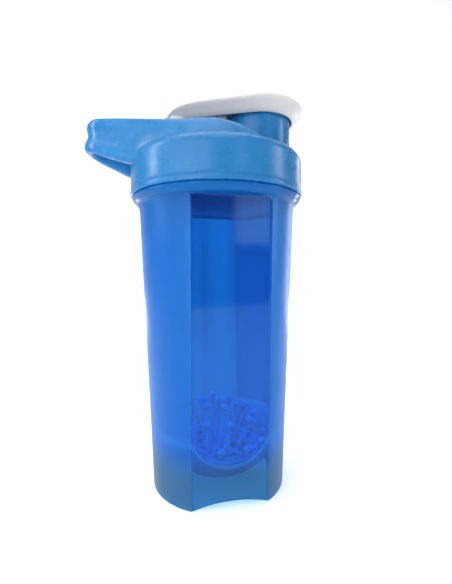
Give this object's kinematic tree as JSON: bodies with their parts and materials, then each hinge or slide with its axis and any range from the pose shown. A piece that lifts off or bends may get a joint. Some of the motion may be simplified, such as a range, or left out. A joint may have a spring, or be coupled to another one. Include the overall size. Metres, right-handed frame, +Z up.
{
  "type": "protein shaker bottle",
  "caption": "Tapered translucent shaker cup with round bowl bottom and flat windows, screw lid with carry loop, flip-capped spout and loose pronged mixer.",
  "frame": {"origin": "on the bottle's axis, in the plane that the foot stands on", "axes": "+Z up along the bottle's axis, the spout at +X and the carry loop at -X, the two windows near -Y and +Y, turned 11.5 degrees"},
  "size_m": [0.1237, 0.0968, 0.2153],
  "materials": {
    "cup": "tinted translucent blue, frosted wall with two clear glossy flat windows",
    "lid": "opaque mid blue, satin gloss",
    "cap": "off-white, satin gloss",
    "pin": "plain drawn pin",
    "seal": "pale silicone, matte",
    "mixer": "opaque blue, satin"
  },
  "bodies": {
    "cup": {"cup": "cup"},
    "gasket": {"lid_gasket": "seal"},
    "lid": {"lid_shell": "lid", "hinge_pin": "pin"},
    "cap": {"flip_cap": "cap", "spout_seal": "seal"},
    "mixer": {"mixer": "mixer"}
  },
  "joints": [
    {"name": "lid_rise", "type": "slide", "parent": "cup", "child": "gasket", "axis": [0, 0, 1], "range_m": [0, 0.016]},
    {"name": "lid_turn", "type": "hinge", "parent": "gasket", "child": "lid", "pos_m": [0, 0, 0.17], "axis": [0, 0, 1], "range_deg": [0, 720]},
    {"name": "cap_flip", "type": "hinge", "parent": "lid", "child": "cap", "pos_m": [-0.0265, 0, 0.1993], "axis": [0, -1, 0], "range_deg": [0, 135]},
    {"name": "mixer_lift", "type": "slide", "parent": "cup", "child": "mixer", "axis": [0, 0, 1], "range_m": [0, 0.125]}
  ],
  "couplings": [
    {"joint": "lid_rise", "follows": "lid_turn", "m_per_rad": 0.0012732}
  ]
}
